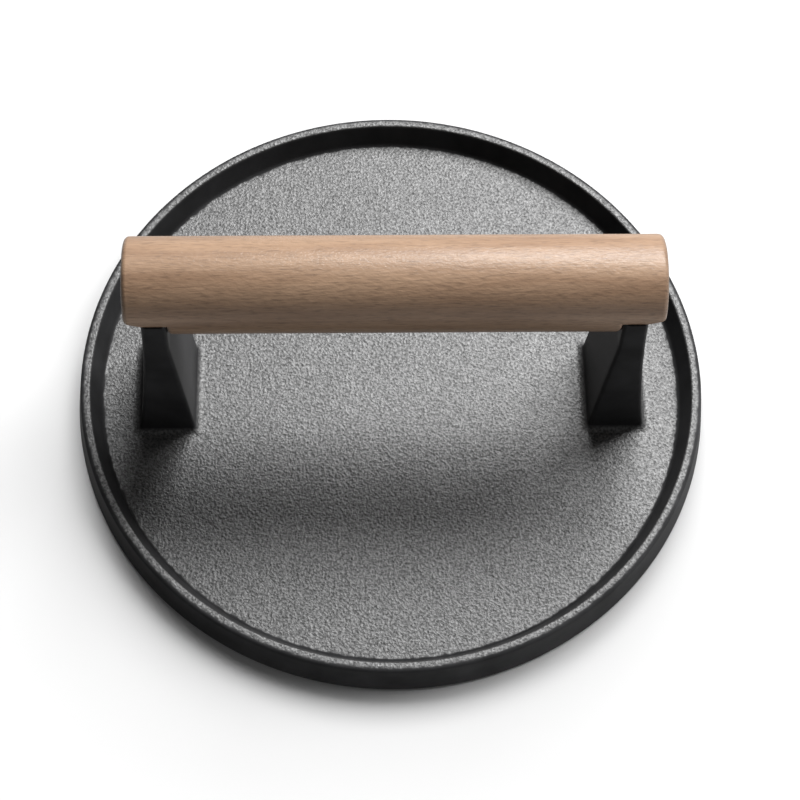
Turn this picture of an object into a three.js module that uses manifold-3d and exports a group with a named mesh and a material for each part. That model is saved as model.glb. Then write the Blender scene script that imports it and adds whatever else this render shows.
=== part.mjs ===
// Patty press: a round cast-iron pressing plate whose two cast posts carry a wooden handle.
// Units are millimetres and +Z is up. The origin is the centre of the flat pressing face,
// the handle runs along X, and the press is the same on both sides of X = 0.
import * as THREE from 'three';
import { mergeVertices } from 'three/addons/utils/BufferGeometryUtils.js';
import Module from 'manifold-3d';

const wasm = await Module();
wasm.setup();

// Pressing plate
const PLATE_DIAMETER = 178;
const PLATE_HEIGHT = 11;
const FLOOR_HEIGHT = 4.5;
const OUTER_WALL_DRAFT = 1.4;
const RIM_WIDTH = 2.6;
const INNER_WALL_SLOPE = 2.8;
const BOTTOM_EDGE_ROUND = 1;
const RIM_OUTER_ROUND = 1.2;
const RIM_INNER_ROUND = 0.6;
const RECESS_FILLET = 1.2;

// Wooden handle
const HANDLE_DIAMETER = 25.4;
const HANDLE_LENGTH = 139.8;
const HANDLE_AXIS_HEIGHT = 63.9;
const HANDLE_END_ROUND = 1.4;
const SHOULDER_ROUND = 1.3;
const SHOULDER_X = 58.9;
const NOTCH_CEILING = 0.5;
const OVERHANG_RISE = 1.5;

// Posts, measured on the right-hand one
const SEAT_X = 59;
const POST_TOP_THICKNESS = 6.5;
const POST_TOP_WIDTH = 25.2;
const POST_SIDE_DRAFT = 0.3;
const POST_INNER_SPREAD = 3.8;
const POST_OUTER_SPREAD = 5.4;
const POST_OUTER_CURVE = 0.9;
const POST_EDGE_ROUND = 1;
const POST_TOP_ROUND = 0.6;
const POST_FOOT_FILLET = 2;

// M5 fastenings, one set in each post
const SCREW_DROP = 6.2;
const SCREW_DIAMETER = 5;
const SCREW_LENGTH = 20;
const SCREW_HEAD_DIAMETER = 9.5;
const SCREW_HEAD_HEIGHT = 3.7;
const SCREW_HEAD_ROUND = 2.6;
const DRIVE_SPAN = 4.8;
const DRIVE_WIDTH = 1.1;
const DRIVE_DEPTH = 2.2;
const SPRING_WASHER = { outer: 9.2, inner: 5.3, thickness: 1.2, split: 0.8 };
const FLAT_WASHER = { outer: 10, inner: 5.3, thickness: 1 };
const SPOT_FACE = { diameter: 11, depth: 2 };
const SCREW_HOLE_DIAMETER = 5.6;
const INSERT = { outer: 8, core: 7, inner: 5.3, length: 13, pitch: 2, slot: 1.4 };
const INSERT_SINK = 0.5;
const BORE_DEPTH = 15;

const FIT_GAP = 0.1;
const ARC_STEPS = 3;
const PLATE_SEGMENTS = 72;
const HANDLE_SEGMENTS = 40;
const HARDWARE_SEGMENTS = 20;

const TOP_RADIUS = PLATE_DIAMETER / 2 - OUTER_WALL_DRAFT;
const RIM_INNER_RADIUS = TOP_RADIUS - RIM_WIDTH;
const RECESS_RADIUS = RIM_INNER_RADIUS - INNER_WALL_SLOPE;
const HANDLE_RADIUS = HANDLE_DIAMETER / 2;
const POST_TOP = HANDLE_AXIS_HEIGHT + NOTCH_CEILING - FIT_GAP;
const POST_SEAT_BOTTOM = HANDLE_AXIS_HEIGHT - HANDLE_RADIUS;
const POST_OUTER_X = SEAT_X + POST_TOP_THICKNESS;
const SCREW_Z = HANDLE_AXIS_HEIGHT - SCREW_DROP;
const SPOT_FACE_X = POST_OUTER_X - SPOT_FACE.depth;

const castIron = new THREE.MeshStandardMaterial({ color: 0x2c2c2d, roughness: 0.6, metalness: 0.4 });
const beech = new THREE.MeshStandardMaterial({ color: 0xc9a488, roughness: 0.5, metalness: 0 });
const steel = new THREE.MeshStandardMaterial({ color: 0xb4b6b8, roughness: 0.35, metalness: 1 });
const brass = new THREE.MeshStandardMaterial({ color: 0xc8a24b, roughness: 0.35, metalness: 1 });

// ---- Solids from geometries, and back ----

function solid(geometry) {
  const plain = geometry.clone();
  plain.deleteAttribute('normal');
  plain.deleteAttribute('uv');
  const merged = mergeVertices(plain, 1e-4);
  return new wasm.Manifold(new wasm.Mesh({
    numProp: 3,
    vertProperties: new Float32Array(merged.attributes.position.array),
    triVerts: new Uint32Array(merged.index.array),
  }));
}

function geometryOf(manifold) {
  const mesh = manifold.getMesh();
  const geometry = new THREE.BufferGeometry();
  geometry.setAttribute('position', new THREE.BufferAttribute(mesh.vertProperties, 3));
  geometry.setIndex(new THREE.BufferAttribute(mesh.triVerts, 1));
  geometry.computeVertexNormals();
  return geometry;
}

// ---- Outlines ----

// The outline through [x, y, radius] corners, each rounded by an arc of its own radius.
function roundedOutline(corners) {
  const points = [];
  corners.forEach(([x, y, radius = 0], index) => {
    const corner = new THREE.Vector2(x, y);
    if (radius === 0) {
      points.push(corner);
      return;
    }
    const [lastX, lastY] = corners[index - 1];
    const [nextX, nextY] = corners[index + 1];
    const back = new THREE.Vector2(lastX - x, lastY - y).normalize();
    const ahead = new THREE.Vector2(nextX - x, nextY - y).normalize();
    const halfAngle = back.angleTo(ahead) / 2;
    const centre = back.clone().add(ahead).setLength(radius / Math.sin(halfAngle)).add(corner);
    const start = back.clone().multiplyScalar(radius / Math.tan(halfAngle)).add(corner);
    const sweep = Math.sign(ahead.cross(back)) * (Math.PI - 2 * halfAngle);
    for (let step = 0; step <= ARC_STEPS; step += 1) {
      points.push(start.clone().rotateAround(centre, sweep * step / ARC_STEPS));
    }
  });
  return points;
}

function roundedRectangle(width, depth, radius) {
  const x = width / 2;
  const y = depth / 2;
  const shape = new THREE.Shape();
  shape.moveTo(x, radius - y);
  shape.lineTo(x, y - radius);
  shape.absarc(x - radius, y - radius, radius, 0, Math.PI / 2);
  shape.lineTo(radius - x, y);
  shape.absarc(radius - x, y - radius, radius, Math.PI / 2, Math.PI);
  shape.lineTo(-x, radius - y);
  shape.absarc(radius - x, radius - y, radius, Math.PI, 1.5 * Math.PI);
  shape.lineTo(x - radius, -y);
  shape.absarc(x - radius, radius - y, radius, 1.5 * Math.PI, 2 * Math.PI);
  return shape;
}

// ---- Turned and bored shapes ----

// A profile of [radius, distance along the axis] corners, turned about the Z axis.
function turnedUpright(corners, segments) {
  return new THREE.LatheGeometry(roundedOutline(corners), segments).rotateX(Math.PI / 2);
}

// The same, turned about the X axis.
function turnedAlongX(corners, segments) {
  return new THREE.LatheGeometry(roundedOutline(corners), segments).rotateZ(-Math.PI / 2);
}

function cylinderAlongX(diameter, fromX, toX, z) {
  const geometry = new THREE.CylinderGeometry(diameter / 2, diameter / 2, toX - fromX, HARDWARE_SEGMENTS);
  return geometry.rotateZ(-Math.PI / 2).translate((fromX + toX) / 2, 0, z);
}

function ringAlongX({ outer, inner, thickness }) {
  return turnedAlongX([
    [inner / 2, 0], [outer / 2, 0], [outer / 2, thickness], [inner / 2, thickness], [inner / 2, 0],
  ], HARDWARE_SEGMENTS);
}

// ---- Casting ----

function plateGeometry() {
  return turnedUpright([
    [0, 0],
    [PLATE_DIAMETER / 2, 0, BOTTOM_EDGE_ROUND],
    [TOP_RADIUS, PLATE_HEIGHT, RIM_OUTER_ROUND],
    [RIM_INNER_RADIUS, PLATE_HEIGHT, RIM_INNER_ROUND],
    [RECESS_RADIUS, FLOOR_HEIGHT, RECESS_FILLET],
    [0, FLOOR_HEIGHT],
  ], PLATE_SEGMENTS);
}

// How far a quarter-round of this radius stands out at a distance from where it starts.
function quarterRound(radius, distance) {
  const rest = Math.max(radius - distance, 0);
  return radius - Math.sqrt(radius * radius - rest * rest);
}

// Heights of the post's sections: close together in the fillet and the top round.
function postLevels() {
  const levels = [FLOOR_HEIGHT - 1];
  for (let step = 0; step <= ARC_STEPS; step += 1) {
    levels.push(FLOOR_HEIGHT + POST_FOOT_FILLET * (step / ARC_STEPS) ** 2);
  }
  const shaftSteps = 6;
  const shaftBottom = FLOOR_HEIGHT + POST_FOOT_FILLET;
  for (let step = 1; step <= shaftSteps; step += 1) {
    levels.push(THREE.MathUtils.lerp(shaftBottom, POST_SEAT_BOTTOM, step / shaftSteps));
  }
  for (let step = 0; step <= ARC_STEPS; step += 1) {
    levels.push(POST_TOP - POST_TOP_ROUND * (1 - step / ARC_STEPS) ** 2);
  }
  return levels;
}

// One post: the same rounded rectangle at every level, with its four faces pushed outward
// towards the foot and drawn in at the top edge.
function postGeometry() {
  const levels = postLevels();
  const steps = levels.length - 1;
  const section = roundedRectangle(POST_TOP_THICKNESS, POST_TOP_WIDTH, POST_EDGE_ROUND);
  const geometry = new THREE.ExtrudeGeometry(section, {
    depth: 1, steps, curveSegments: ARC_STEPS, bevelEnabled: false,
  });
  const position = geometry.attributes.position;
  for (let index = 0; index < position.count; index += 1) {
    const z = levels[Math.round(position.getZ(index) * steps)];
    const above = Math.max(z - FLOOR_HEIGHT, 0);
    const fall = 1 - above / (POST_TOP - FLOOR_HEIGHT);
    const slope = Math.max(POST_SEAT_BOTTOM - z, 0) / (POST_SEAT_BOTTOM - FLOOR_HEIGHT);
    const round = quarterRound(POST_FOOT_FILLET, above) - quarterRound(POST_TOP_ROUND, POST_TOP - z);
    const inner = POST_INNER_SPREAD * Math.min(slope, 1) + round;
    const outer = POST_OUTER_SPREAD * fall - 4 * POST_OUTER_CURVE * fall * (1 - fall) + round;
    const side = POST_SIDE_DRAFT * fall + round;
    const x = position.getX(index);
    const y = position.getY(index);
    const pushedX = x < 0 ? x - inner : x + outer;
    position.setXYZ(index, pushedX + SEAT_X + POST_TOP_THICKNESS / 2, y + Math.sign(y) * side, z);
  }
  return geometry;
}

function castingGeometry() {
  const post = solid(postGeometry())
    .subtract(solid(cylinderAlongX(SCREW_HOLE_DIAMETER, SEAT_X - 5, POST_OUTER_X + 5, SCREW_Z)))
    .subtract(solid(cylinderAlongX(SPOT_FACE.diameter, SPOT_FACE_X, POST_OUTER_X + 5, SCREW_Z)));
  return geometryOf(solid(plateGeometry()).add(post).add(post.rotate([0, 0, 180])));
}

// ---- Handle ----

function roundedBar(length, endRound) {
  return turnedAlongX([
    [0, -length / 2],
    [HANDLE_RADIUS, -length / 2, endRound],
    [HANDLE_RADIUS, length / 2, endRound],
    [0, length / 2],
  ], HANDLE_SEGMENTS).translate(0, 0, HANDLE_AXIS_HEIGHT);
}

// A block standing on the notch's ceiling: level across the posts, rising under each overhang.
function upperBlockGeometry() {
  const width = HANDLE_DIAMETER + 2;
  const endX = HANDLE_LENGTH / 2;
  const outline = new THREE.Shape();
  outline.moveTo(-endX, OVERHANG_RISE);
  outline.lineTo(-POST_OUTER_X, 0);
  outline.lineTo(POST_OUTER_X, 0);
  outline.lineTo(endX, OVERHANG_RISE);
  outline.lineTo(endX, HANDLE_DIAMETER);
  outline.lineTo(-endX, HANDLE_DIAMETER);
  return new THREE.ExtrudeGeometry(outline, { depth: width, bevelEnabled: false })
    .rotateX(Math.PI / 2)
    .translate(0, width / 2, HANDLE_AXIS_HEIGHT + NOTCH_CEILING);
}

// The upper half runs the full length; the lower half stops at a shoulder inside each post.
function handleGeometry() {
  const lowerBlock = new THREE.BoxGeometry(HANDLE_LENGTH, HANDLE_DIAMETER + 2, HANDLE_DIAMETER)
    .translate(0, 0, HANDLE_AXIS_HEIGHT + NOTCH_CEILING - HANDLE_RADIUS);
  const upper = solid(roundedBar(HANDLE_LENGTH, HANDLE_END_ROUND)).intersect(solid(upperBlockGeometry()));
  const lower = solid(roundedBar(2 * SHOULDER_X, SHOULDER_ROUND)).intersect(solid(lowerBlock));
  const boreDiameter = INSERT.outer + 2 * FIT_GAP;
  const bore = solid(cylinderAlongX(boreDiameter, SHOULDER_X - BORE_DEPTH, SHOULDER_X + 1, SCREW_Z));
  return geometryOf(upper.add(lower).subtract(bore).subtract(bore.rotate([0, 0, 180])));
}

// ---- Fastenings, each with its outer end towards +X ----

// Pan-head machine screw with a cross drive; X = 0 is the underside of its head.
function screwGeometry() {
  const radius = SCREW_DIAMETER / 2;
  const headRadius = SCREW_HEAD_DIAMETER / 2;
  const tip = 0.6;
  const body = turnedAlongX([
    [0, -SCREW_LENGTH],
    [radius - tip, -SCREW_LENGTH],
    [radius, tip - SCREW_LENGTH],
    [radius, 0],
    [headRadius, 0, 0.2],
    [headRadius, SCREW_HEAD_HEIGHT, SCREW_HEAD_ROUND],
    [0, SCREW_HEAD_HEIGHT],
  ], HARDWARE_SEGMENTS);
  const drive = new THREE.CylinderGeometry(DRIVE_SPAN / 2, DRIVE_SPAN / 4, DRIVE_DEPTH, HARDWARE_SEGMENTS)
    .rotateZ(-Math.PI / 2)
    .translate(SCREW_HEAD_HEIGHT - DRIVE_DEPTH / 2 + 0.01, 0, 0);
  const wing = new THREE.BoxGeometry(4 * DRIVE_DEPTH, DRIVE_WIDTH, 2 * DRIVE_SPAN);
  const cross = solid(wing).add(solid(wing.clone().rotateX(Math.PI / 2)))
    .translate([SCREW_HEAD_HEIGHT, 0, 0]);
  return geometryOf(solid(body).subtract(solid(drive).intersect(cross)));
}

// Flat ring split by one slanting cut.
function springWasherGeometry() {
  const { outer, thickness, split } = SPRING_WASHER;
  const cut = new THREE.BoxGeometry(4 * thickness, split, outer)
    .rotateZ(Math.PI / 6)
    .translate(thickness / 2, 0, -outer / 2);
  return geometryOf(solid(ringAlongX(SPRING_WASHER)).subtract(solid(cut)));
}

// Brass insert: ridges of coarse wood thread outside and a driver slot across its mouth at X = 0.
function insertGeometry() {
  const { outer, core, inner, length, pitch, slot } = INSERT;
  const profile = [[inner / 2, -length], [core / 2, -length]];
  for (let ridge = pitch; ridge < length; ridge += pitch) {
    profile.push([core / 2, ridge - length - pitch / 3]);
    profile.push([outer / 2, ridge - length]);
    profile.push([core / 2, ridge - length + pitch / 3]);
  }
  profile.push([core / 2, 0], [inner / 2, 0], [inner / 2, -length]);
  const slotCut = new THREE.BoxGeometry(2 * slot, slot, outer + 1);
  return geometryOf(solid(turnedAlongX(profile, HARDWARE_SEGMENTS)).subtract(solid(slotCut)));
}

// ---- Assembly ----

function piece(name, geometry, material, x = 0, z = 0) {
  const mesh = new THREE.Mesh(geometry, material);
  mesh.name = name;
  mesh.position.set(x, 0, z);
  return mesh;
}

// The fastenings of one post, stacked outward from its spot face.
function fastenings(side) {
  const flatX = SPOT_FACE_X + FIT_GAP;
  const springX = flatX + FLAT_WASHER.thickness + FIT_GAP;
  const headX = springX + SPRING_WASHER.thickness + FIT_GAP;
  const group = new THREE.Group();
  group.add(
    piece(`${side}_threaded_insert`, insertGeometry(), brass, SHOULDER_X - INSERT_SINK, SCREW_Z),
    piece(`${side}_flat_washer`, ringAlongX(FLAT_WASHER), steel, flatX, SCREW_Z),
    piece(`${side}_spring_washer`, springWasherGeometry(), steel, springX, SCREW_Z),
    piece(`${side}_handle_screw`, screwGeometry(), steel, headX, SCREW_Z),
  );
  return group;
}

const press = new THREE.Group();
press.add(piece('press_casting', castingGeometry(), castIron));
press.add(piece('wooden_handle', handleGeometry(), beech));
press.add(fastenings('right'));
const leftFastenings = fastenings('left');
leftFastenings.rotation.z = Math.PI;
press.add(leftFastenings);

export default press;
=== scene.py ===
"""Looks of the patty press: a rough-cast iron plate with two posts and a lacquered beech handle."""
import math

import bmesh
import bpy
from mathutils import Matrix, Vector, noise


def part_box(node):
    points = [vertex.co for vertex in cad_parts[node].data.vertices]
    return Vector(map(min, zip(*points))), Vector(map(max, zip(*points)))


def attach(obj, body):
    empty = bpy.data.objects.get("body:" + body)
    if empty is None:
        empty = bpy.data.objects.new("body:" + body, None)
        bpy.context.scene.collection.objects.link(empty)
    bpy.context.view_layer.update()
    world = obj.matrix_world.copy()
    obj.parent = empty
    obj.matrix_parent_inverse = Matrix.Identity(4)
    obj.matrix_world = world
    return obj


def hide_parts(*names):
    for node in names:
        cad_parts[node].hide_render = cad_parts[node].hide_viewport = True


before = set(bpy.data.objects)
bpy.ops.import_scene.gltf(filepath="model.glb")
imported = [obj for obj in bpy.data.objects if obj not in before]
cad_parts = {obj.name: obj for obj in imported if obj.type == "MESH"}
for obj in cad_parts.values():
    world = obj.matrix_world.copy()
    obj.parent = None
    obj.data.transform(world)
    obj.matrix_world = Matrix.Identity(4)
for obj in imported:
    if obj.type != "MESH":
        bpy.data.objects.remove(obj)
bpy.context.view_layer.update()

# ---- Sizes, in metres ----

_, casting_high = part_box("press_casting")
_, handle_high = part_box("wooden_handle")

PLATE_RADIUS = casting_high.x
PLATE_HEIGHT = 0.011
FLOOR_HEIGHT = 0.0045
OUTER_DRAFT = 0.0014
RIM_WIDTH = 0.0026
INNER_SLOPE = 0.0028
BOTTOM_EDGE_ROUND = 0.001
RIM_OUTER_ROUND = 0.0012
RIM_INNER_ROUND = 0.0006
RECESS_FILLET = 0.0012
TOP_RADIUS = PLATE_RADIUS - OUTER_DRAFT
RIM_INNER_RADIUS = TOP_RADIUS - RIM_WIDTH
RECESS_RADIUS = RIM_INNER_RADIUS - INNER_SLOPE

HANDLE_RADIUS = handle_high.y
HANDLE_HALF_LENGTH = handle_high.x
HANDLE_AXIS = handle_high.z - HANDLE_RADIUS
HANDLE_END_ROUND = 0.0014
SHOULDER_X = 0.0589
SHOULDER_ROUND = 0.0013
NOTCH_CEILING = HANDLE_AXIS + 0.0005
OVERHANG_RISE = 0.0015

POST_SEAT_X = 0.059
POST_THICKNESS = 0.0065
POST_HALF_WIDTH = 0.0126
POST_TOP = casting_high.z
POST_SEAT_BOTTOM = HANDLE_AXIS - HANDLE_RADIUS
POST_SIDE_DRAFT = 0.0003
POST_INNER_SPREAD = 0.0038
POST_OUTER_SPREAD = 0.0054
POST_OUTER_CURVE = 0.0009
POST_EDGE_ROUND = 0.001
POST_TOP_ROUND = 0.0006
POST_FOOT_FILLET = 0.002
POST_ROOT_DEPTH = 0.001
POST_OUTER_X = POST_SEAT_X + POST_THICKNESS

screw_low, screw_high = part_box("right_handle_screw")
SCREW_AXIS = (screw_low.z + screw_high.z) / 2
SCREW_RADIUS = 0.0025
SCREW_LENGTH = 0.020
SCREW_PITCH = 0.0008
SCREW_THREAD_DEPTH = 0.00043
SCREW_THREAD_STOP = 0.0001
SCREW_TIP_BEVEL = 0.0006
SCREW_HEAD_RADIUS = screw_high.y
SCREW_HEAD_HEIGHT = screw_high.x - screw_low.x - SCREW_LENGTH
SCREW_HEAD_ROUND = 0.0026
SCREW_HEAD_EDGE = 0.0002
DRIVE_SPAN = 0.0048
DRIVE_WIDTH = 0.0011
DRIVE_DEPTH = 0.0022
SCREW_HOLE_RADIUS = 0.0028
SPOT_FACE_RADIUS = 0.0055
SPOT_FACE_DEPTH = 0.002
WASHER_INNER_RADIUS = 0.00265
WASHER_EDGE_ROUND = 0.0001
SPRING_EDGE_ROUND = 0.00015
SPRING_SPLIT = 0.0008
INSERT_CORE_RADIUS = 0.0035
INSERT_PITCH = 0.002
INSERT_SLOT = 0.0014
INSERT_BORE_RADIUS = 0.0041
INSERT_BORE_DEPTH = 0.015

# The raw casting's grain. It covers the recess floor and the rim's top, and fades out in a ragged line.
GRAIN_BOTTOM = FLOOR_HEIGHT - 0.0005
GRAIN_RADIUS = RECESS_RADIUS - 0.0004
# The recess's sloped edge gets painted shade from this radius outward.
SHADE_EDGE_RADIUS = RECESS_RADIUS - 0.0005
EDGE_FADE = 0.0005
FILLET_FADE_START = FLOOR_HEIGHT + 0.0004
FILLET_FADE_END = FLOOR_HEIGHT + 0.0015
RIM_GRAIN_BOTTOM = PLATE_HEIGHT - 0.001
RIM_FADE_DEPTH = 0.0004
RIM_FADE_START = TOP_RADIUS - 1.1 * RIM_OUTER_ROUND
RIM_FADE_END = TOP_RADIUS - 0.6 * RIM_OUTER_ROUND
RAGGEDNESS = 0.0004
PEBBLE_SIZE = 0.0016
LUMP_SIZE = 0.0035
PEBBLE_HEIGHT = 0.00012

# How far a cutting tool reaches past the surface that it cuts.
POST_TOOL_REACH = 0.005
BORE_TOOL_REACH = 0.001
DRIVE_TOOL_REACH = 0.0005

# Not lengths: an angle, two shares and a number of waves per metre.
SPRING_SLANT = math.radians(30)
THREAD_FULLNESS = 1.25
PEBBLE_MID_LEVEL = 0.6
RAGGED_FREQUENCY = 800

# How finely the meshes are divided.
GRID_STEPS = 216
RING_POINTS = 4 * GRID_STEPS
ARC_STEPS = 6
WALL_SPACING = 0.0007
SECTION_SPACING = 0.0012
ROUND_STEPS = 8
SHAFT_STEPS = 40
SEAT_STEPS = 10
HANDLE_SEGMENTS = 128
WASHER_SEGMENTS = 72
INSERT_SEGMENTS = 64
SCREW_SEGMENTS = 48
TOOL_SEGMENTS = 64
INSERT_RINGS_PER_TURN = 10
SCREW_RINGS_PER_TURN = 8


# ---- Mesh helpers ----

def new_object(name, points, faces):
    mesh = bpy.data.meshes.new(name)
    mesh.from_pydata([tuple(point) for point in points], [], [tuple(face) for face in faces])
    mesh.validate()
    obj = bpy.data.objects.new(name, mesh)
    bpy.context.scene.collection.objects.link(obj)
    return obj


def bake_modifiers(obj):
    """Replaces the object's mesh by the one that its modifiers make."""
    graph = bpy.context.evaluated_depsgraph_get()
    mesh = bpy.data.meshes.new_from_object(obj.evaluated_get(graph))
    old = obj.data
    obj.modifiers.clear()
    obj.data = mesh
    bpy.data.meshes.remove(old)
    mesh.name = obj.name


def combine(obj, tool, operation):
    """Joins, cuts or intersects obj with a closed tool mesh, which is then removed."""
    modifier = obj.modifiers.new("combine", "BOOLEAN")
    modifier.operation = operation
    modifier.solver = "MANIFOLD"
    modifier.object = tool
    bake_modifiers(obj)
    bpy.data.objects.remove(tool)


def rounded_outline(corners, closed=False):
    """Points along (x, y, radius) corners, each rounded by an arc of its own radius."""
    points = []
    for index, (x, y, radius) in enumerate(corners):
        corner = Vector((x, y))
        if radius == 0:
            points.append(corner)
            continue
        following = (index + 1) % len(corners) if closed else index + 1
        back = (Vector(corners[index - 1][:2]) - corner).normalized()
        ahead = (Vector(corners[following][:2]) - corner).normalized()
        half = back.angle(ahead) / 2
        centre = corner + (back + ahead).normalized() * (radius / math.sin(half))
        start = corner + back * (radius / math.tan(half)) - centre
        turn = math.copysign(math.pi - 2 * half, ahead.x * back.y - ahead.y * back.x)
        for step in range(ARC_STEPS + 1):
            points.append(centre + Matrix.Rotation(turn * step / ARC_STEPS, 2) @ start)
    return points


def subdivided(points, spacing):
    """The same outline with extra points, so that no stretch is longer than the spacing."""
    result = [points[0]]
    for start, end in zip(points, points[1:]):
        pieces = max(1, math.ceil((end - start).length / spacing))
        result += [start.lerp(end, step / pieces) for step in range(1, pieces + 1)]
    return result


def ring_faces(first, second, count):
    """Quads between two rings of points that run the same way round."""
    for index in range(count):
        after = (index + 1) % count
        yield first + index, first + after, second + after, second + index


def between(start, end, steps):
    """The numbers that divide start to end into equal steps, without the two ends."""
    return [start + (end - start) * step / steps for step in range(1, steps)]


def no_thread(x, angle):
    """The plain surface of a turned body that has no thread."""
    return 0.0


def turned(name, outline, segments, thread=no_thread):
    """A body turned about X from (radius, x) points that start and end on the axis."""
    points = [(outline[0][1], 0, 0)]
    for radius, x in outline[1:-1]:
        for index in range(segments):
            angle = 2 * math.pi * index / segments
            reach = radius + thread(x, angle)
            points.append((x, reach * math.cos(angle), reach * math.sin(angle)))
    points.append((outline[-1][1], 0, 0))
    last = len(points) - 1
    faces = []
    for index in range(segments):
        after = (index + 1) % segments
        faces.append((0, 1 + after, 1 + index))
        faces.append((last, last - segments + index, last - segments + after))
    for ring in range(len(outline) - 3):
        faces += ring_faces(1 + ring * segments, 1 + (ring + 1) * segments, segments)
    obj = new_object(name, points, faces)
    face_outward(obj)
    return obj


def turned_ring(name, outline, segments, thread=no_thread):
    """A hollow body turned about X from a closed loop of (radius, x) points."""
    points = []
    for radius, x in outline:
        for index in range(segments):
            angle = 2 * math.pi * index / segments
            reach = radius + thread(x, angle) if radius > outline[0][0] else radius
            points.append((x, reach * math.cos(angle), reach * math.sin(angle)))
    faces = []
    for ring in range(len(outline)):
        after = (ring + 1) % len(outline)
        faces += ring_faces(ring * segments, after * segments, segments)
    obj = new_object(name, points, faces)
    face_outward(obj)
    return obj


def rod(name, radius, from_x, to_x):
    """A plain round tool along the screws' axis."""
    outline = [(0, from_x), (radius, from_x), (radius, to_x), (0, to_x)]
    obj = turned(name, outline, TOOL_SEGMENTS)
    obj.data.transform(Matrix.Translation((0, 0, SCREW_AXIS)))
    return obj


def extruded(name, outline, half_width):
    """A closed body from (x, z) points, as wide as 2 * half_width along Y."""
    count = len(outline)
    points = [(x, -half_width, z) for x, z in outline] + [(x, half_width, z) for x, z in outline]
    faces = list(ring_faces(0, count, count))
    faces.append(tuple(reversed(range(count))))
    faces.append(tuple(range(count, 2 * count)))
    obj = new_object(name, points, faces)
    face_outward(obj)
    return obj


def rectangle(left, right, bottom, top):
    """The four corners of a rectangle, one after the other."""
    return [(left, bottom), (right, bottom), (right, top), (left, top)]


def face_outward(obj):
    """Turns every face of a closed mesh so that it looks outward."""
    mesh = bmesh.new()
    mesh.from_mesh(obj.data)
    bmesh.ops.recalc_face_normals(mesh, faces=mesh.faces)
    mesh.to_mesh(obj.data)
    mesh.free()


def shade(obj, angle):
    """Shades smoothly, but keeps an edge sharp where the faces turn by more than the angle in degrees."""
    obj.data.shade_smooth()
    obj.data.set_sharp_from_angle(angle=math.radians(angle))


# ---- Iron casting ----

def disc_point(a, b, radius):
    """Maps a square's point (a and b from -1 to 1) onto a disc, rings of squares to circles."""
    if a == 0 and b == 0:
        return 0.0, 0.0
    if abs(a) > abs(b):
        reach, angle = a, math.pi / 4 * b / a
    else:
        reach, angle = b, math.pi / 2 - math.pi / 4 * a / b
    return radius * reach * math.cos(angle), radius * reach * math.sin(angle)


def plate():
    """The plate: an even grid over the recess floor, then rings over the rim, wall and base."""
    wall = rounded_outline([
        (0, FLOOR_HEIGHT, 0),
        (RECESS_RADIUS, FLOOR_HEIGHT, RECESS_FILLET),
        (RIM_INNER_RADIUS, PLATE_HEIGHT, RIM_INNER_ROUND),
        (TOP_RADIUS, PLATE_HEIGHT, RIM_OUTER_ROUND),
        (PLATE_RADIUS + OUTER_DRAFT * BOTTOM_EDGE_ROUND / PLATE_HEIGHT, 0, BOTTOM_EDGE_ROUND),
        (0, 0, 0),
    ])[1:-1]
    wall = subdivided(wall, WALL_SPACING)
    floor_radius = wall[0].x
    points = []
    for row in range(GRID_STEPS + 1):
        for column in range(GRID_STEPS + 1):
            a = 2 * column / GRID_STEPS - 1
            b = 2 * row / GRID_STEPS - 1
            x, y = disc_point(a, b, floor_radius)
            points.append((x, y, FLOOR_HEIGHT))
    side = GRID_STEPS + 1
    faces = []
    for row in range(GRID_STEPS):
        for column in range(GRID_STEPS):
            corner = row * side + column
            faces.append((corner, corner + 1, corner + side + 1, corner + side))
    border = [GRID_STEPS + row * side for row in range(GRID_STEPS)]
    border += [GRID_STEPS * side + column for column in range(GRID_STEPS, 0, -1)]
    border += [row * side for row in range(GRID_STEPS, 0, -1)]
    border += list(range(GRID_STEPS))
    first = len(points)
    for radius, z in wall[1:]:
        for index in range(RING_POINTS):
            angle = 2 * math.pi * index / RING_POINTS - math.pi / 4
            points.append((radius * math.cos(angle), radius * math.sin(angle), z))
    for index in range(RING_POINTS):
        after = (index + 1) % RING_POINTS
        faces.append((border[index], first + index, first + after, border[after]))
    for ring in range(len(wall) - 2):
        start = first + ring * RING_POINTS
        faces += ring_faces(start, start + RING_POINTS, RING_POINTS)
    faces.append(tuple(reversed(range(len(points) - RING_POINTS, len(points)))))
    obj = new_object("iron_casting", points, faces)
    face_outward(obj)
    return obj


def quarter_round(radius, distance):
    """How far a fillet of this radius stands out at a distance from the face that it runs into."""
    rest = max(radius - distance, 0)
    return radius - math.sqrt(radius * radius - rest * rest)


def post_levels():
    """Heights of the post's sections, close together in the fillet and the top round."""
    fillet_top = FLOOR_HEIGHT + POST_FOOT_FILLET
    seat_top = POST_TOP - POST_TOP_ROUND
    eased = [(step / ROUND_STEPS) ** 2 for step in range(ROUND_STEPS + 1)]
    levels = [FLOOR_HEIGHT - POST_ROOT_DEPTH]
    levels += [FLOOR_HEIGHT + POST_FOOT_FILLET * share for share in eased]
    levels += between(fillet_top, POST_SEAT_BOTTOM, SHAFT_STEPS) + [POST_SEAT_BOTTOM]
    levels += between(POST_SEAT_BOTTOM, seat_top, SEAT_STEPS)
    levels += [POST_TOP - POST_TOP_ROUND * share for share in reversed(eased)]
    return levels


def post_section():
    """Outline of the post's top, as (x, y) from its middle."""
    x, y, radius = POST_THICKNESS / 2, POST_HALF_WIDTH, POST_EDGE_ROUND
    corners = [(x, 0, 0), (x, y, radius), (-x, y, radius), (-x, -y, radius), (x, -y, radius), (x, 0, 0)]
    return subdivided(rounded_outline(corners), SECTION_SPACING)[:-1]


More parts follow.
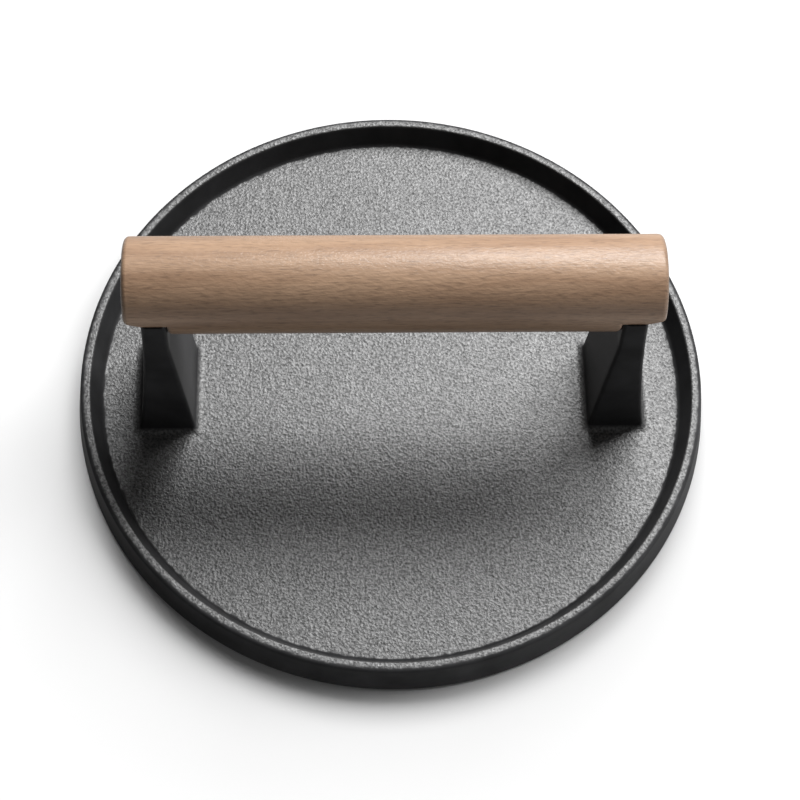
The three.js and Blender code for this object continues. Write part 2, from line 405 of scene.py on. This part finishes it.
def post():
    """The right-hand post: one section at every level, its faces pushed outward towards the foot."""
    section = post_section()
    levels = post_levels()
    points = []
    for z in levels:
        above = max(z - FLOOR_HEIGHT, 0)
        fall = 1 - above / (POST_TOP - FLOOR_HEIGHT)
        slope = min(max(POST_SEAT_BOTTOM - z, 0) / (POST_SEAT_BOTTOM - FLOOR_HEIGHT), 1)
        flare = quarter_round(POST_FOOT_FILLET, above) - quarter_round(POST_TOP_ROUND, POST_TOP - z)
        inner = POST_INNER_SPREAD * slope + flare
        # The outer face is hollow: a parabola that is deepest halfway up.
        outer = POST_OUTER_SPREAD * fall - 4 * POST_OUTER_CURVE * fall * (1 - fall) + flare
        side = POST_SIDE_DRAFT * fall + flare
        for x, y in section:
            pushed_x = x - inner if x < 0 else x + outer
            pushed_y = y + math.copysign(side, y) if y else y
            points.append((pushed_x + POST_SEAT_X + POST_THICKNESS / 2, pushed_y, z))
    count = len(section)
    faces = []
    for level in range(len(levels) - 1):
        faces += ring_faces(level * count, (level + 1) * count, count)
    faces.append(tuple(reversed(range(count))))
    faces.append(tuple(range(len(points) - count, len(points))))
    obj = new_object("post", points, faces)
    face_outward(obj)
    return obj


def fade(value, start, end):
    """1 up to the start, 0 from the end on, and straight between them."""
    return min(max((end - value) / (end - start), 0), 1)


def ragged_radius(x, y, z):
    """Distance from the axis, made uneven so that the grain ends in a ragged line."""
    return math.hypot(x, y) + RAGGEDNESS * noise.noise(Vector((x, y, z)) * RAGGED_FREQUENCY)


def roughcast_weight(x, y, z):
    """How pebbled the casting is at a point: fully on the recess floor and the rim's top."""
    radius = ragged_radius(x, y, z)
    if z < GRAIN_BOTTOM:
        return 0.0
    if radius > RIM_INNER_RADIUS - RIM_INNER_ROUND and z > RIM_GRAIN_BOTTOM:
        edge = fade(radius, RIM_FADE_START, RIM_FADE_END)
        return edge * fade(PLATE_HEIGHT - z, 0, RIM_FADE_DEPTH)
    foot = fade(z, FILLET_FADE_START, FILLET_FADE_END)
    return foot * fade(radius, GRAIN_RADIUS - EDGE_FADE, GRAIN_RADIUS)


def painted_shade_weight(x, y, z):
    """How much painted shade a point gets: full on the recess's sloped edge, which the iron material
    darkens.
    """
    radius = ragged_radius(x, y, z)
    if z < GRAIN_BOTTOM or radius > RIM_INNER_RADIUS + RIM_INNER_ROUND:
        return 0.0
    return 1 - fade(radius, SHADE_EDGE_RADIUS - EDGE_FADE, SHADE_EDGE_RADIUS)


def pebble(obj):
    """Raises the sand-cast grain as real geometry; tells the iron's material where it is and where to paint
    shade.
    """
    weights = [roughcast_weight(*vertex.co) for vertex in obj.data.vertices]
    group = obj.vertex_groups.new(name="roughcast")
    for index, weight in enumerate(weights):
        if weight > 0:
            group.add([index], weight, "REPLACE")
    for name, kind, size in (("grain", "VORONOI", PEBBLE_SIZE), ("lumps", "CLOUDS", LUMP_SIZE)):
        texture = bpy.data.textures.new(name, kind)
        texture.noise_scale = size
        modifier = obj.modifiers.new(name, "DISPLACE")
        modifier.texture = texture
        modifier.texture_coords = "LOCAL"
        modifier.vertex_group = "roughcast"
        modifier.strength = PEBBLE_HEIGHT
        modifier.mid_level = PEBBLE_MID_LEVEL
    bake_modifiers(obj)
    shade_values = [painted_shade_weight(*vertex.co) for vertex in obj.data.vertices]
    for name, values in (("roughcast_amount", weights), ("painted_shade_amount", shade_values)):
        attribute = obj.data.attributes.new(name, "FLOAT", "POINT")
        attribute.data.foreach_set("value", values)


def casting():
    """The plate and both posts in one, with a screw hole and a spot face in each post."""
    obj = plate()
    for turn in (0, math.pi):
        upright = post()
        upright.data.transform(Matrix.Rotation(turn, 4, "Z"))
        combine(obj, upright, "UNION")
    for turn in (0, math.pi):
        outside = POST_OUTER_X + POST_TOOL_REACH
        hole = rod("hole", SCREW_HOLE_RADIUS, POST_SEAT_X - POST_TOOL_REACH, outside)
        spot = rod("spot", SPOT_FACE_RADIUS, POST_OUTER_X - SPOT_FACE_DEPTH, outside)
        for tool in (hole, spot):
            tool.data.transform(Matrix.Rotation(turn, 4, "Z"))
            combine(obj, tool, "DIFFERENCE")
    pebble(obj)
    shade(obj, angle=50)
    return obj


# ---- Handle ----

def bar(name, half_length, end_round):
    """A round bar along the handle's axis."""
    outline = rounded_outline([
        (0, -half_length, 0),
        (HANDLE_RADIUS, -half_length, end_round),
        (HANDLE_RADIUS, half_length, end_round),
        (0, half_length, 0),
    ])
    obj = turned(name, outline, HANDLE_SEGMENTS)
    obj.data.transform(Matrix.Translation((0, 0, HANDLE_AXIS)))
    return obj


def handle():
    """The bar above its notches, joined to the shorter bar between the posts, and bored at both ends."""
    reach = HANDLE_HALF_LENGTH
    top = HANDLE_AXIS + 2 * HANDLE_RADIUS
    rise = NOTCH_CEILING + OVERHANG_RISE
    bottom = HANDLE_AXIS - 2 * HANDLE_RADIUS
    upper_outline = [
        (-reach, rise),
        (-POST_OUTER_X, NOTCH_CEILING),
        (POST_OUTER_X, NOTCH_CEILING),
        (reach, rise),
        (reach, top),
        (-reach, top),
    ]
    lower_outline = rectangle(-reach, reach, bottom, NOTCH_CEILING)
    obj = bar("beech_handle", reach, HANDLE_END_ROUND)
    combine(obj, extruded("upper", upper_outline, 2 * HANDLE_RADIUS), "INTERSECT")
    lower = bar("lower", SHOULDER_X, SHOULDER_ROUND)
    combine(lower, extruded("block", lower_outline, 2 * HANDLE_RADIUS), "INTERSECT")
    combine(obj, lower, "UNION")
    for turn in (0, math.pi):
        bore_end = SHOULDER_X - INSERT_BORE_DEPTH
        bore = rod("bore", INSERT_BORE_RADIUS, bore_end, SHOULDER_X + BORE_TOOL_REACH)
        bore.data.transform(Matrix.Rotation(turn, 4, "Z"))
        combine(obj, bore, "DIFFERENCE")
    shade(obj, angle=40)
    return obj


# ---- Fastenings, each made for the right-hand post along X ----

def spread(start, end, spacing):
    """Evenly spaced numbers from start to end, both included."""
    count = math.ceil(abs(end - start) / spacing)
    return [start + (end - start) * step / count for step in range(count + 1)]


def helix(pitch, depth, start, end):
    """A thread: what it adds to the radius at a place along X, fading out at both ends."""
    def added_radius(x, angle):
        phase = (x / pitch - angle / (2 * math.pi)) % 1
        runout = min((x - start) / pitch, (end - x) / pitch, 1)
        profile = min(1, THREAD_FULLNESS * (1 - abs(2 * phase - 1)))
        return depth * max(runout, 0) * profile
    return added_radius


def pan_head_screw():
    """An M5 pan-head screw with a cut thread, and a cross recess half as wide at its floor."""
    head = screw_high.x - SCREW_HEAD_HEIGHT
    root = SCREW_RADIUS - SCREW_THREAD_DEPTH
    shank_start = screw_low.x + SCREW_TIP_BEVEL
    outline = [(0, screw_low.x), (root - SCREW_TIP_BEVEL, screw_low.x)]
    outline += [(root, x) for x in spread(shank_start, head, SCREW_PITCH / SCREW_RINGS_PER_TURN)]
    outline += [tuple(point) for point in rounded_outline([
        (root, head, 0),
        (SCREW_HEAD_RADIUS, head, SCREW_HEAD_EDGE),
        (SCREW_HEAD_RADIUS, screw_high.x, SCREW_HEAD_ROUND),
        (0, screw_high.x, 0),
    ])[1:]]
    thread = helix(SCREW_PITCH, SCREW_THREAD_DEPTH, screw_low.x, head - SCREW_THREAD_STOP)
    obj = turned("pan_head_screw", outline, SCREW_SEGMENTS, thread)
    floor = screw_high.x - DRIVE_DEPTH
    above = screw_high.x + DRIVE_TOOL_REACH
    taper = [
        (floor, -DRIVE_SPAN / 4),
        (floor, DRIVE_SPAN / 4),
        (above, DRIVE_SPAN / 2),
        (above, -DRIVE_SPAN / 2),
    ]
    for turn in (0, math.pi / 2):
        wing = extruded("wing", taper, DRIVE_WIDTH / 2)
        wing.data.transform(Matrix.Rotation(turn, 4, "X"))
        combine(obj, wing, "DIFFERENCE")
    return obj


def washer(name, low, high, edge_round):
    """A flat ring that fills its CAD box, with rounded edges."""
    outline = rounded_outline([
        (WASHER_INNER_RADIUS, low.x, edge_round),
        (high.y, low.x, edge_round),
        (high.y, high.x, edge_round),
        (WASHER_INNER_RADIUS, high.x, edge_round),
    ], closed=True)
    return turned_ring(name, outline, WASHER_SEGMENTS)


def flat_washer():
    low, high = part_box("right_flat_washer")
    return washer("plain_washer", low, high, WASHER_EDGE_ROUND)


def spring_washer():
    """A split ring of square wire, cut through at a slant below the screw."""
    low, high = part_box("right_spring_washer")
    obj = washer("split_washer", low, high, SPRING_EDGE_ROUND)
    reach = 2 * (high.x - low.x)
    cut = extruded("cut", rectangle(-reach, reach, -2 * high.y, 0), SPRING_SPLIT / 2)
    middle = Matrix.Translation(((low.x + high.x) / 2, 0, 0))
    cut.data.transform(middle @ Matrix.Rotation(SPRING_SLANT, 4, "Z"))
    combine(obj, cut, "DIFFERENCE")
    return obj


def threaded_insert():
    """A brass insert: coarse wood thread outside, slot for a driver across its mouth."""
    low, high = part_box("right_threaded_insert")
    outline = [(WASHER_INNER_RADIUS, low.x)]
    spacing = INSERT_PITCH / INSERT_RINGS_PER_TURN
    outline += [(INSERT_CORE_RADIUS, x) for x in spread(low.x, high.x, spacing)]
    outline.append((WASHER_INNER_RADIUS, high.x))
    thread = helix(INSERT_PITCH, high.y - INSERT_CORE_RADIUS, low.x, high.x)
    obj = turned_ring("brass_insert", outline, INSERT_SEGMENTS, thread)
    reach = 2 * high.y
    slot_outline = rectangle(high.x - INSERT_SLOT, high.x + INSERT_SLOT, -reach, reach)
    combine(obj, extruded("slot", slot_outline, INSERT_SLOT / 2), "DIFFERENCE")
    return obj


def fastening(side, turn, make, cad_name, made):
    """Makes one fastening piece, sets it on its post and lets it stand for its CAD node."""
    obj = make()
    obj.name = f"{side}_{obj.name}"
    obj.data.transform(Matrix.Rotation(turn, 4, "Z") @ Matrix.Translation((0, 0, SCREW_AXIS)))
    shade(obj, angle=35)
    dress(obj, made)
    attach(obj, "root")
    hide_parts(f"{side}_{cad_name}")


# ---- Materials ----

SKIN_DARK = (0.034, 0.034, 0.035)
SKIN_PALE = (0.056, 0.056, 0.058)
GRAIN_DARK = (0.1, 0.1, 0.1)
GRAIN_PALE = (0.233, 0.233, 0.233)
GRAIN_ADDED_ROUGHNESS = 0.1
WOOD_DARK = (0.344, 0.21, 0.129)
WOOD_PALE = (0.448, 0.29, 0.187)
STEEL = (0.55, 0.55, 0.56)
BRASS = (0.62, 0.42, 0.15)
CARD = (0.8, 0.8, 0.8)
CARD_REFLECTED = (0.42, 0.42, 0.42)


def material(name, **settings):
    """A material with one Principled shader, and the constants set on its sockets."""
    made = bpy.data.materials.new(name)
    made.use_nodes = True
    shader = made.node_tree.nodes["Principled BSDF"]
    for socket, value in settings.items():
        shader.inputs[socket.replace("_", " ")].default_value = value
    return made, shader


def node(made, kind, inputs=None, **settings):
    """A new node. An input is either another node's output, which is linked to it, or a constant."""
    created = made.node_tree.nodes.new(kind)
    for name, value in settings.items():
        setattr(created, name, value)
    for name, value in (inputs or {}).items():
        if isinstance(value, bpy.types.NodeSocket):
            made.node_tree.links.new(value, created.inputs[name])
        else:
            created.inputs[name].default_value = value
    return created


def link(made, output, socket):
    made.node_tree.links.new(output, socket)


def place(made, scale=(1, 1, 1)):
    """The object's own coordinates in metres, stretched by the scale."""
    coordinates = node(made, "ShaderNodeTexCoord")
    mapping = node(made, "ShaderNodeMapping", {"Vector": coordinates.outputs["Object"], "Scale": scale})
    return mapping.outputs["Vector"]


def cloud(made, scale, detail, stretch=(1, 1, 1), **settings):
    """Noise in the object's own coordinates, from 0 to 1."""
    inputs = {"Vector": place(made, stretch), "Scale": scale, "Detail": detail, **settings}
    return node(made, "ShaderNodeTexNoise", inputs).outputs["Fac"]


def ramp(made, factor, low, high, from_low=0.0, from_high=1.0):
    """A colour that runs from low to high while the factor runs over its own range."""
    created = node(made, "ShaderNodeValToRGB", {"Fac": factor})
    first, last = created.color_ramp.elements
    first.position = from_low
    first.color = (*low, 1)
    last.position = from_high
    last.color = (*high, 1)
    return created.outputs["Color"]


def rescaled(made, value, low, high, from_low=0.0, from_high=1.0):
    """A number that runs from low to high while the value runs over its own range."""
    inputs = {"Value": value, "From Min": from_low, "From Max": from_high, "To Min": low, "To Max": high}
    return node(made, "ShaderNodeMapRange", inputs).outputs["Result"]


def calculated(made, operation, *values):
    """The result of one operation on numbers or outputs."""
    inputs = dict(enumerate(values))
    return node(made, "ShaderNodeMath", inputs, operation=operation).outputs["Value"]


def darkened(made, colour, share):
    """The colour times a share."""
    inputs = {0: colour, "Scale": share}
    return node(made, "ShaderNodeVectorMath", inputs, operation="SCALE").outputs["Vector"]


def bumped(made, height, distance, strength, **settings):
    """The surface's direction, tilted by the slopes of a height."""
    inputs = {"Height": height, "Distance": distance, "Strength": strength, **settings}
    return node(made, "ShaderNodeBump", inputs).outputs["Normal"]


def point_value(made, name):
    """What the mesh says at each of its points under this name."""
    return node(made, "ShaderNodeAttribute", attribute_name=name).outputs["Fac"]


def iron():
    """Seasoned cast iron: smooth near-black walls, and grey sand-cast grain where the casting is rough."""
    made, shader = material("cast_iron", IOR=1.12)
    amount = point_value(made, "roughcast_amount")
    painted_shade = point_value(made, "painted_shade_amount")
    mottle = cloud(made, scale=110, detail=6)
    grain = cloud(made, scale=1300, detail=3, Roughness=0.6)

    skin = ramp(made, mottle, SKIN_DARK, SKIN_PALE, from_low=0.3, from_high=0.7)
    # On the recess's sloped edge the skin is darkened to 0.65 of its colour: painted shade.
    shaded_skin = darkened(made, skin, rescaled(made, painted_shade, low=1.0, high=0.65))
    peaks = ramp(made, grain, GRAIN_DARK, GRAIN_PALE, from_low=0.36, from_high=0.64)
    # The Mix node's colours are its inputs 6 and 7, and their mix is its output 2.
    colour = node(made, "ShaderNodeMix", data_type="RGBA")
    link(made, amount, colour.inputs["Factor"])
    link(made, shaded_skin, colour.inputs[6])
    link(made, peaks, colour.inputs[7])
    link(made, colour.outputs[2], shader.inputs["Base Color"])

    bare_metal = rescaled(made, amount, low=0.0, high=0.6)
    link(made, bare_metal, shader.inputs["Metallic"])
    skin_roughness = rescaled(made, mottle, low=0.34, high=0.44)
    roughness = calculated(made, "MULTIPLY_ADD", amount, GRAIN_ADDED_ROUGHNESS, skin_roughness)
    link(made, roughness, shader.inputs["Roughness"])

    relief = rescaled(made, amount, low=0.05, high=1.0)
    coarse = bumped(made, grain, distance=0.00026, strength=relief)
    pits = node(made, "ShaderNodeTexVoronoi", {"Vector": place(made), "Scale": 1400}).outputs["Distance"]
    fine = bumped(made, pits, distance=0.00008, strength=relief, Normal=coarse)
    link(made, fine, shader.inputs["Normal"])
    return made


def beech():
    """Satin-lacquered beech: soft growth bands and short dark flecks, all along the bar."""
    made, shader = material("beech", Coat_Weight=0.3, Coat_Roughness=0.22, Sheen_Weight=0.15,
                            Sheen_Roughness=0.35, Specular_IOR_Level=0.4)
    bands = cloud(made, scale=240, detail=4, stretch=(0.08, 1, 1), Distortion=0.4)
    fibres = cloud(made, scale=2600, detail=3, stretch=(0.05, 1, 1), Roughness=0.7)
    flecks = cloud(made, scale=2300, detail=1, stretch=(0.14, 1, 1))
    satin = cloud(made, scale=1100, detail=3, stretch=(0.4, 1, 1))
    pores = cloud(made, scale=1700, detail=2, stretch=(0.6, 1, 1))

    wood = ramp(made, bands, WOOD_DARK, WOOD_PALE, from_low=0.32, from_high=0.66)
    streak = rescaled(made, fibres, low=0.84, high=1.1, from_low=0.3, from_high=0.7)
    fleck = rescaled(made, flecks, low=1.0, high=0.76, from_low=0.54, from_high=0.7)
    along = node(made, "ShaderNodeSeparateXYZ", {"Vector": place(made)}).outputs["X"]
    end_grain = rescaled(made, calculated(made, "ABSOLUTE", along), low=1.0, high=0.62,
                         from_low=HANDLE_HALF_LENGTH - HANDLE_END_ROUND, from_high=HANDLE_HALF_LENGTH)
    share = calculated(made, "MULTIPLY", calculated(made, "MULTIPLY", streak, fleck), end_grain)
    link(made, darkened(made, wood, share), shader.inputs["Base Color"])

    link(made, rescaled(made, satin, low=0.4, high=0.6), shader.inputs["Roughness"])
    link(made, bumped(made, satin, distance=0.00022, strength=0.6), shader.inputs["Normal"])
    link(made, bumped(made, pores, distance=0.0003, strength=0.6), shader.inputs["Coat Normal"])
    return made


def bright_metal(name, colour):
    """A small turned part: plain metal with a slightly uneven gloss."""
    made, shader = material(name, Base_Color=(*colour, 1), Metallic=1.0)
    roughness = rescaled(made, cloud(made, scale=900, detail=4), low=0.22, high=0.42)
    link(made, roughness, shader.inputs["Roughness"])
    return made


def paper():
    """Matt white card, dimmer in reflections so that the iron's vertical edge stays dark."""
    made, shader = material("pale_floor", Roughness=0.9, Specular_IOR_Level=0.1)
    reflected = node(made, "ShaderNodeLightPath").outputs["Is Glossy Ray"]
    link(made, ramp(made, reflected, CARD, CARD_REFLECTED), shader.inputs["Base Color"])
    return made


def dress(obj, made):
    """Gives an object its material."""
    obj.data.materials.clear()
    obj.data.materials.append(made)


# ---- Studio ----

CAMERA_PLACE = Vector((-0.01175, -0.27326, 0.54166))
CAMERA_AIM = Vector((0.00224, -0.00724, PLATE_HEIGHT))
CAMERA_ROLL = math.radians(2.316)
LENS_MM = 95.15
SENSOR_MM = 36
TABLE_HALF_SIZE = 3.0
TABLE_GAP = 0.0003


def camera():
    """The photograph's view: steeply from above, a little from the left."""
    data = bpy.data.cameras.new("camera")
    data.lens = LENS_MM
    data.sensor_width = SENSOR_MM
    obj = bpy.data.objects.new("camera", data)
    bpy.context.scene.collection.objects.link(obj)
    look = (CAMERA_AIM - CAMERA_PLACE).to_track_quat("-Z", "Y").to_matrix().to_4x4()
    roll = Matrix.Rotation(CAMERA_ROLL, 4, "Z")
    obj.matrix_world = Matrix.Translation(CAMERA_PLACE) @ look @ roll
    bpy.context.scene.camera = obj


def softbox(name, azimuth, elevation, distance, width, height, watts):
    """A soft light that faces the press; its azimuth is in degrees from +X."""
    data = bpy.data.lights.new(name, "AREA")
    data.shape = "RECTANGLE"
    data.size = width
    data.size_y = height
    data.energy = watts
    obj = bpy.data.objects.new(name, data)
    bpy.context.scene.collection.objects.link(obj)
    swing = Matrix.Rotation(math.radians(azimuth), 3, "Z")
    tilt = Matrix.Rotation(-math.radians(elevation), 3, "Y")
    direction = swing @ tilt @ Vector((1, 0, 0))
    obj.location = direction * distance
    obj.rotation_euler = direction.to_track_quat("Z", "Y").to_euler()
    return obj


def light_floor(light, floor, state):
    """Lets a light reach only the floor (INCLUDE), or everything but the floor (EXCLUDE)."""
    receivers = bpy.data.collections.new(f"{light.name}_receivers")
    receivers.objects.link(floor)
    receivers.collection_objects[0].light_linking.link_state = state
    light.light_linking.receiver_collection = receivers


def table():
    """A pale sheet just under the press. Diffuse rays pass it, so that the walls get an even glow."""
    size = TABLE_HALF_SIZE
    corners = [(x, y, -TABLE_GAP) for x, y in rectangle(-size, size, -size, size)]
    floor = new_object("floor", corners, [(0, 1, 2, 3)])
    dress(floor, paper())
    floor.visible_diffuse = False
    return floor


def lights(floor):
    """Two soft boxes behind and to the right for the press, and two larger ones for the table alone."""
    key = softbox("key", azimuth=72, elevation=53.5, distance=1.0, width=0.36, height=0.48, watts=9.7)
    light_floor(key, floor, "EXCLUDE")
    second = softbox("second", azimuth=37, elevation=50, distance=1.0, width=0.3, height=0.38, watts=6.2)
    light_floor(second, floor, "EXCLUDE")
    back = softbox("table_back", azimuth=85, elevation=47, distance=4.0, width=3.0, height=3.2, watts=230)
    light_floor(back, floor, "INCLUDE")
    beside = softbox("table_right", azimuth=30, elevation=46, distance=4.0, width=2.2, height=3.2, watts=110)
    light_floor(beside, floor, "INCLUDE")


def glow():
    """White light all round, stronger from below, as off the table, and from the right."""
    world = bpy.data.worlds.new("studio")
    world.use_nodes = True
    background = world.node_tree.nodes["Background"]
    background.inputs["Color"].default_value = (1, 1, 1, 1)
    direction = node(world, "ShaderNodeTexCoord").outputs["Generated"]
    parts = node(world, "ShaderNodeSeparateXYZ", {"Vector": direction})
    height, side = parts.outputs["Z"], parts.outputs["X"]
    by_height = rescaled(world, height, low=0.95, high=0.088, from_low=-0.1, from_high=0.1)
    by_side = rescaled(world, side, low=0.0, high=2.3, from_low=-0.85, from_high=1.0)
    link(world, calculated(world, "MULTIPLY", by_height, by_side), background.inputs["Strength"])
    bpy.context.scene.world = world


def studio():
    """The table, the lights and the glow, shown without any film look."""
    lights(table())
    glow()
    bpy.context.scene.view_settings.view_transform = "Standard"
    bpy.context.scene.view_settings.look = "None"


# ---- Assembly ----


camera()
studio()

iron_material = iron()
beech_material = beech()
steel_material = bright_metal("zinc_plated_steel", STEEL)
brass_material = bright_metal("turned_brass", BRASS)

casting_piece = casting()
dress(casting_piece, iron_material)
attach(casting_piece, "root")
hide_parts("press_casting")

handle_piece = handle()
dress(handle_piece, beech_material)
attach(handle_piece, "root")
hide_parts("wooden_handle")

for side, turn in (("right", 0), ("left", math.pi)):
    fastening(side, turn, threaded_insert, "threaded_insert", brass_material)
    fastening(side, turn, flat_washer, "flat_washer", steel_material)
    fastening(side, turn, spring_washer, "spring_washer", steel_material)
    fastening(side, turn, pan_head_screw, "handle_screw", steel_material)
